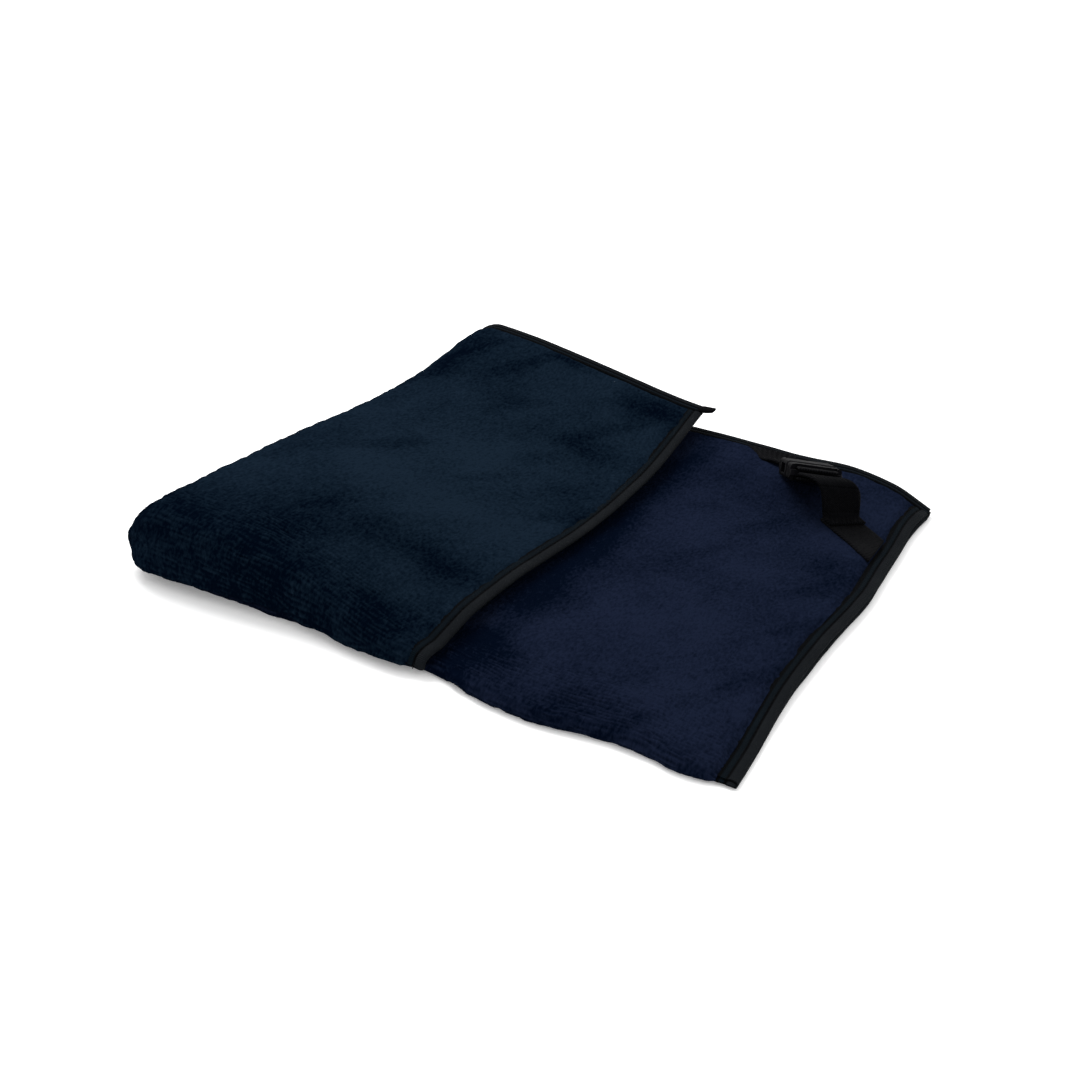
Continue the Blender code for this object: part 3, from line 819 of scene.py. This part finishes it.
class Edge:
    """One taped edge: its line in the middle of the hem, and the ways into the cloth and out of its face."""

    def __init__(self, name, surface, further_in, sign):
        self.name = name
        tangent = unit(np.gradient(surface, axis=0))
        inward = unit(further_in - surface)
        self.inward = unit(inward - tangent * (inward * tangent).sum(1, keepdims=True))
        self.up = np.cross(tangent, self.inward) * sign
        self.points = surface - self.up * LAYER / 2
        self.lengths = np.r_[0, np.cumsum(np.linalg.norm(np.diff(self.points, axis=0), axis=1))]

    def part(self, name, keep):
        """The points that keep picks, as an edge of its own."""
        piece = object.__new__(Edge)
        piece.name = name
        piece.points, piece.inward = self.points[keep], self.inward[keep]
        piece.up, piece.lengths = self.up[keep], self.lengths[keep]
        return piece

    def tape(self):
        return sweep_tape(self.name, self.points, self.inward, self.up, self.lengths)

    def stitch_row(self, pitch=3.2):
        at = np.arange(self.lengths[0] + pitch / 2, self.lengths[-1] - pitch / 2, pitch)

        def spread(values):
            return np.stack([np.interp(at, self.lengths, values[:, k]) for k in range(3)], axis=1)

        spots, inward, up = spread(self.points), unit(spread(self.inward)), unit(spread(self.up))
        return spots + inward * SEAM + up * 0.72, unit(np.gradient(spots, axis=0)), up


def side_edge(name, x, angle, sign):
    """The side tape of a column: along the outer layer, round the near fold, back along the inner layer."""
    rows = np.linspace(LIP, DEPTH - TAPE + 0.5, SIDE_ROWS)
    share = inner_share(rows)
    lines = [settle(column(x - step, angle, rows)[0], angle, share) for step in (0, 3)]
    turn_end = SIDE_ROWS + LIP_ROWS - 2
    turn = np.arange(SIDE_ROWS, turn_end, 3)
    keep = np.r_[np.arange(0, SIDE_ROWS), turn, np.arange(turn_end, len(share))]
    return Edge(name, lines[0], lines[1], sign).part(name, keep)


def far_edge(name, cols, outer, sign):
    """The far tape of one layer, along the base, round the roll and along the flap."""
    xs = np.r_[LENGTH - 1.4, cols.x[5 : cols.flap_start : 2], np.linspace(ROLL, FLAP, 50)]
    angles = np.r_[BOTTOM, cols.angle[5 : cols.flap_start : 2], np.full(50, TOP)]
    lines = []
    for y in (DEPTH, DEPTH - 3):
        raw = np.array([layer_point(x, angle, y, outer) for x, angle in zip(xs, angles)])
        lines.append(settle(raw, angles, 0.0 if outer else 1.0))
    return Edge(name, lines[0], lines[1], sign), angles


def sew(name, edges, material):
    rows = [edge.stitch_row() for edge in edges]
    points, ways, outs = (np.vstack([row[k] for row in rows]) for k in range(3))
    obj = stitches(name, points, ways, outs)
    finish_piece(obj, material)
    return obj


def tapes(cols):
    """All the binding of the base, the roll and the flap."""
    made = {"base": [side_edge("base_side_tape", LENGTH, BOTTOM, 1)], "roll": [], "flap": [], "flap_near": []}
    flap_side = side_edge("flap_side_tape", FLAP, TOP, -1)
    first, last = SIDE_ROWS - 1, len(flap_side.points) - SIDE_ROWS
    made["flap"].append(flap_side.part("flap_side_tape_upper", slice(0, first + 1)))
    made["flap_near"].append(flap_side.part("flap_turn_tape", slice(first, last + 1)))
    made["flap"].append(flap_side.part("flap_side_tape_lower", slice(last, None)))
    for outer, sign, names in (
        (True, -1, ("base_far_tape_lower", "roll_far_tape_outer", "flap_far_tape_upper")),
        (False, 1, ("base_far_tape_upper", "roll_far_tape_inner", "flap_far_tape_lower")),
    ):
        edge, angles = far_edge("far_tape", cols, outer, sign)
        roll = int(np.argmax(angles < BOTTOM - 1e-6)) - 1
        flap = int(np.argmax(angles < TOP + 1e-6))
        runs = (slice(0, roll + 1), slice(roll, flap + 1), slice(flap, None))
        for name, group, run in zip(names, ("base", "roll", "flap"), runs):
            made[group].append(edge.part(name, run))
    return made


# ---- strap and buckle


def joint(name):
    return next(j for j in frame["joints"] if j["name"] == name)


def buckle_axes():
    """The buckle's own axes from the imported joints, as a matrix in metres."""
    along = Vector(joint("buckle_release")["axis"])
    up = Vector(joint("prong_left_squeeze")["axis"])
    left = Vector(joint("prong_left_squeeze")["pos_m"])
    right = Vector(joint("prong_right_squeeze")["pos_m"])
    side = up.cross(along)
    start = (left + right) / 2 - along * 23 * MM
    rows = Matrix((along, side, up)).transposed().to_4x4()
    return Matrix.Translation(start) @ rows


def to_mm(point):
    return (np.array(point) - CORNER) / MM


def cubic(start, start_way, end, end_way, count):
    t = np.linspace(0, 1, count)[:, None]
    a, b, c, d = (1 - t) ** 3, 3 * t * (1 - t) ** 2, 3 * t * t * (1 - t), t**3
    return start * a + (start + start_way) * b + (end - end_way) * c + end * d


def webbing_faces(count, wide):
    """Faces of both sides of a strip, along its selvages and across its ends."""
    total = count * wide
    faces = []
    for i in range(count - 1):
        for j in range(wide - 1):
            a = i * wide + j
            faces.append((a, a + 1, a + wide + 1, a + wide))
            faces.append((total + a, total + a + wide, total + a + wide + 1, total + a + 1))
    for i in range(count - 1):
        for j, flip in ((0, False), (wide - 1, True)):
            a = i * wide + j
            quad = (a, a + wide, total + a + wide, total + a)
            faces.append(quad[::-1] if flip else quad)
    for i, flip in ((0, True), (count - 1, False)):
        for j in range(wide - 1):
            a = i * wide + j
            quad = (a, a + 1, total + a + 1, total + a)
            faces.append(quad[::-1] if flip else quad)
    return faces


def webbing_strip(name, centres, sides, skew=(0, 0)):
    """Webbing along a line: ribs across it, raised selvages, rounded edges."""
    count = len(centres)
    across = np.linspace(-WEB / 2, WEB / 2, 41)
    tangents = unit(np.gradient(centres, axis=0))
    lengths = np.r_[0, np.cumsum(np.linalg.norm(np.diff(centres, axis=0), axis=1))]
    top, low, uvs = [], [], []
    for i in range(count):
        share = i / (count - 1)
        slant = skew[0] * (1 - share) + skew[1] * share
        normal = unit(np.cross(tangents[i], sides[i]))
        normal = normal if normal[2] >= 0 else -normal
        for w in across:
            p = centres[i] + sides[i] * w + tangents[i] * slant * w
            weave = 0.09 * np.cos(2 * np.pi * lengths[i] / 1.25 + np.pi * (round(w / 1.6) % 2))
            edge = max(0.0, abs(w) - (WEB / 2 - 0.9)) / 0.9
            half = WEB_THICK / 2 * np.sqrt(max(0.02, 1 - edge**2)) + weave * (1 - edge)
            selvage = 0.12 * bell(abs(w), WEB / 2 - 1.3, 0.5)
            top.append(p + normal * (half + selvage))
            low.append(p - normal * (half + selvage))
            uvs.append((lengths[i], w))
    faces = webbing_faces(count, len(across))
    return make_object(name, top + low, faces, uvs + uvs)


def turning(start, end, count):
    t = np.linspace(0, 1, count)[:, None]
    return unit(np.asarray(start) * (1 - t) + np.asarray(end) * t)


def level_across(way):
    return unit(np.cross((0, 0, 1), way))


def lying(x, y):
    return np.array([x, y, base_height(x, y) + WEB_THICK / 2 + 0.3])


def strap_a_start():
    """Where the first webbing goes under the far tape."""
    return lying(STRAP_A_X, DEPTH - 8.0) - np.array([0, 0, 1.0])


def strap_pieces():
    axes = buckle_axes()
    turn = axes.to_3x3()
    along, side = np.array(turn @ Vector((1, 0, 0))), np.array(turn @ Vector((0, 1, 0)))

    def at(x, y=0.0, z=0.0):
        return to_mm(axes @ (Vector((x, y, z)) * MM))

    end = at(-3.8)
    tucked, shown = strap_a_start(), lying(STRAP_A_X + 7.5, DEPTH - 15.0)
    line_a = rounded([tucked, shown, (shown + end) / 2 + np.array([0, 0, 0.4]), end], 40)
    sides_a = turning(level_across(shown - tucked), level_across(along), 40)
    strap_a = webbing_strip("strap_a", line_a, sides_a, (0.8, 0))

    def loop(name, free, bar, far):
        upper = [(free, 2.3), (bar, 2.6), (far, 1.7)]
        spots = upper + [(far + (far - bar) * 0.12, 0)] + [(x, -z) for x, z in upper[::-1]]
        line = rounded([at(x, 0, z) for x, z in spots], 44)
        return webbing_loop(name, line, side)

    loop_a = loop("strap_loop_a", -3.0, 1.2, 4.2)
    male_end = 38.0
    loop_b = loop("strap_loop_b", male_end + 3.9, male_end - 1.2, 33.5)

    corner_a, corner_b = np.array([LENGTH - 85, DEPTH, 0]), np.array([LENGTH, DEPTH - 80, 0])
    way_b = unit(corner_b - corner_a)
    start = at(male_end + 4.4)
    landing = lying(LANDING_X + 0.5, LANDING_Y - 0.5) + np.array([0, 0, WEB_THICK + 0.2])
    drop = unit(np.array([0.1, 0.35, -0.93]))
    fall = cubic(start, along * 15 + np.array([9, 0, 3]), landing + np.array([-1.2, 1.0, 2.6]), drop * 11, 50)
    foot = [landing + np.array([-0.5, 0.4, 0.5]), landing + way_b * 2.0, landing + way_b * 6.0]
    line = rounded([*fall, *foot], 66)
    riser = webbing_strip("strap_riser", line, turning(level_across(along), level_across(way_b), 66))
    steps = np.linspace(-1.5, 23.5, 44)
    flat = np.array([lying(LANDING_X + d, LANDING_Y - 2 - (d - 2.5) * 0.86) for d in steps])
    anchor = webbing_strip("strap_b", flat, turning(level_across(way_b), level_across(way_b), 44), (0, -0.87))
    return {"a": strap_a, "loop_a": loop_a, "loop_b": loop_b, "riser": riser, "b": anchor}


def webbing_loop(name, line, side):
    """Webbing bent round a bar: a strip whose thickness points out of the bend."""
    count, across = len(line), np.linspace(-WEB / 2, WEB / 2, 33)
    tangents = unit(np.gradient(line, axis=0))
    lengths = np.r_[0, np.cumsum(np.linalg.norm(np.diff(line, axis=0), axis=1))]
    outs = unit(np.cross(tangents, side))
    outer, inner, uvs = [], [], []
    for i in range(count):
        for w in across:
            edge = max(0.0, abs(w) - (WEB / 2 - 0.9)) / 0.9
            weave = 0.07 * np.cos(2 * np.pi * lengths[i] / 1.25 + np.pi * (round(w / 1.6) % 2)) * (1 - edge)
            half = 0.55 * np.sqrt(max(0.02, 1 - edge**2)) + weave
            outer.append(line[i] + side * w + outs[i] * half)
            inner.append(line[i] + side * w - outs[i] * half)
            uvs.append((lengths[i], w))
    faces = webbing_faces(count, len(across))
    return make_object(name, outer + inner, faces, uvs + uvs)


def tape_tab():
    """The loose end of the tape past the flap's far corner, folded to a point."""
    corner = flap_edge(DEPTH)
    z = float(flap_height(FLAP, DEPTH)) - 1.2
    spans = ((-3, 9, 1.1, 0.0), (1, 8.4, 1.0, 0.2), (4, 7.4, 0.9, 0.9), (5.4, 6.6, 0.8, 1.2))
    spans += ((5.5, 5.4, 0.5, 1.2), (5.2, 4.8, 0.36, 1.15), (2.5, 4.2, 0.3, 0.6))
    rings = []
    for past, wide, half, lift in spans:
        x = corner + past
        low, high = DEPTH - 4.4 - wide / 2, DEPTH - 4.4 + wide / 2
        middle = (low + high) / 2
        oval = [(low, 0), (low + 0.5, half), (middle, half * 1.2), (high - 0.5, half), (high, 0)]
        oval += [(high - 0.5, -half), (middle, -half * 1.2), (low + 0.5, -half)]
        rings.append([(x, y, z + lift + h) for y, h in oval])
    count = len(rings[0])
    points = [p for ring in rings for p in ring]
    faces = []
    for i in range(len(rings) - 1):
        for j in range(count):
            k = (j + 1) % count
            faces.append((i * count + j, i * count + k, (i + 1) * count + k, (i + 1) * count + j))
    faces.append(tuple(range(count))[::-1])
    faces.append(tuple(range((len(rings) - 1) * count, len(rings) * count)))
    uvs = [(p[0], p[1]) for p in points]
    obj = make_object("flap_tape_tab", points, faces, uvs)
    soften(obj, 2)
    return obj


def soften(obj, levels):
    """Rounds a mesh with an applied subdivision surface."""
    modifier = obj.modifiers.new("round", "SUBSURF")
    modifier.levels = levels
    modifier.render_levels = levels
    depsgraph = bpy.context.evaluated_depsgraph_get()
    mesh = bpy.data.meshes.new_from_object(obj.evaluated_get(depsgraph))
    obj.modifiers.clear()
    obj.data = mesh


# ---- stage


def lights():
    world = bpy.data.worlds.new("studio")
    bpy.context.scene.world = world
    world.use_nodes = True
    world.node_tree.nodes["Background"].inputs["Color"].default_value = (1, 1, 1, 1)
    world.node_tree.nodes["Background"].inputs["Strength"].default_value = 1.0
    for name, spot, size, power in (
        ("overhead", (-0.55, 0.22, 0.9), 0.8, 9.5),
        ("front", (0.1, -1.0, 0.9), 0.9, 1.0),
    ):
        lamp = bpy.data.lights.new(name, "AREA")
        lamp.shape = "DISK"
        lamp.size = size
        lamp.energy = power
        obj = bpy.data.objects.new(name, lamp)
        bpy.context.scene.collection.objects.link(obj)
        obj.location = spot
        obj.rotation_euler = (-Vector(spot)).to_track_quat("-Z", "Y").to_euler()


def floor():
    bpy.ops.mesh.primitive_plane_add(size=40)
    obj = bpy.context.object
    obj.name = "floor"
    obj.data.materials.append(floor_material())


def camera():
    """A long lens from the right, above the near edge, turned a little about its own axis."""
    yaw, pitch, roll = np.radians((21.47, 25.49, -8.69))
    ahead = Vector((-np.sin(yaw) * np.cos(pitch), np.cos(yaw) * np.cos(pitch), -np.sin(pitch)))
    right = Vector((np.cos(yaw), np.sin(yaw), 0))
    down = ahead.cross(right)
    x_axis = right * np.cos(roll) + down * np.sin(roll)
    y_axis = right * np.sin(roll) - down * np.cos(roll)
    data = bpy.data.cameras.new("camera")
    data.sensor_width = 36
    data.lens = 56.67
    obj = bpy.data.objects.new("camera", data)
    bpy.context.scene.collection.objects.link(obj)
    turn = Matrix((x_axis, y_axis, -ahead)).transposed().to_4x4()
    spot = Vector(CORNER) + Vector((376.4, -509.2, 332.2)) * MM
    obj.matrix_world = Matrix.Translation(spot) @ turn
    bpy.context.scene.camera = obj


# ---- putting it together

# The flap and the base show the same face of the cloth: the flap's tealer tint and the base's more purple one
# are painted sheen of the pile, laid in opposite ways to the light.
flap_blues = ((0.0054, 0.0112, 0.0200), (0.0028, 0.0066, 0.0125), (0.0003, 0.0016, 0.0048))
base_blues = ((0.0068, 0.0102, 0.0236), (0.0039, 0.0063, 0.0152), (0.0007, 0.0021, 0.0066))
tape_greys = ((0.0115, 0.0132, 0.0152), (0.0034, 0.0044, 0.0058))
plush_flap = plush_material("plush_flap", *flap_blues)
plush_base = plush_material("plush_base", *base_blues)
tape_cloth = woven_material("charcoal_tape", *tape_greys, 0.0007, 0.0, tape_fold())
web_cloth = woven_material("black_webbing", (0.0066, 0.0068, 0.0078), (0.0005, 0.0006, 0.0010), 0.0016, 0.9)
thread = woven_material("dark_thread", (0.003, 0.0034, 0.0044), (0.001, 0.0012, 0.002), 0.0005, 0.5)
moulded = plastic_material("moulded_black")

sheet, cloth = cloth_pieces()

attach(cloth["base_cloth"], "towel")
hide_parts("base_lower_sheet", "base_upper_sheet", "base_near_fold")
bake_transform(cloth["roll_cloth"])
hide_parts("left_fold_outer", "left_fold_inner")
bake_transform(cloth["roll_near_end"])
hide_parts("left_fold_near_end")
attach(cloth["flap_cloth"], "flap")
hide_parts("flap_lower_sheet", "flap_upper_sheet")
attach(cloth["flap_near_end"], "flap")
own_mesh(cloth["flap_near_end"])
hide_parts("flap_near_fold")

edges = tapes(sheet.cols)
GROUP_BODY = {"base": "towel", "flap": "flap", "flap_near": "flap", "roll": None}


def follow(obj, group):
    """Lets a piece ride its body; a roll piece is baked into its place in the world instead, and a piece of
    the flap's near end gets its own mesh.
    """
    if group == "roll":
        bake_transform(obj)
    else:
        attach(obj, GROUP_BODY[group])
    if group == "flap_near":
        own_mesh(obj)


for group in GROUP_BODY:
    for edge in edges[group]:
        strip = edge.tape()
        finish_piece(strip, tape_cloth)
        follow(strip, group)
for group in GROUP_BODY:
    follow(sew(f"stitching_{group}", edges[group], thread), group)


def stands_for(name, *nodes):
    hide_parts(*nodes)


stands_for("base_side_tape", "right_binding_lower", "right_binding_upper", "right_binding_turn")
stands_for("base_far_tape_lower", "far_binding_lower")
stands_for("base_far_tape_upper", "far_binding_upper")
stands_for("flap_side_tape_lower", "flap_edge_binding_lower")
stands_for("flap_side_tape_upper", "flap_edge_binding_upper")
stands_for("flap_turn_tape", "flap_binding_turn")
stands_for("flap_far_tape_lower", "flap_far_binding_lower")
stands_for("flap_far_tape_upper", "flap_far_binding_upper")
stands_for("roll_far_tape_outer", "left_fold_binding_outer")
stands_for("roll_far_tape_inner", "left_fold_binding_inner")

tab = tape_tab()
finish_piece(tab, tape_cloth, "flap")
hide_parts("tape_end")

strap = strap_pieces()
for piece in strap.values():
    finish_piece(piece, web_cloth)
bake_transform(strap["a"])
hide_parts("strap_a_webbing")
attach(strap["loop_a"], "strap")
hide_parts("strap_a_loop")
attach(strap["loop_b"], "male_half")
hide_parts("strap_b_loop")
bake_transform(strap["riser"])
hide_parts("strap_b_riser")
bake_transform(strap["b"])
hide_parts("strap_b_webbing")
for node in ("buckle_female", "buckle_male", "prong_left", "prong_right"):
    shell = frame["nodes"][node]
    shell.data.materials.clear()
    shell.data.materials.append(moulded)

floor()
lights()
camera()
bpy.context.scene.view_settings.view_transform = "Standard"
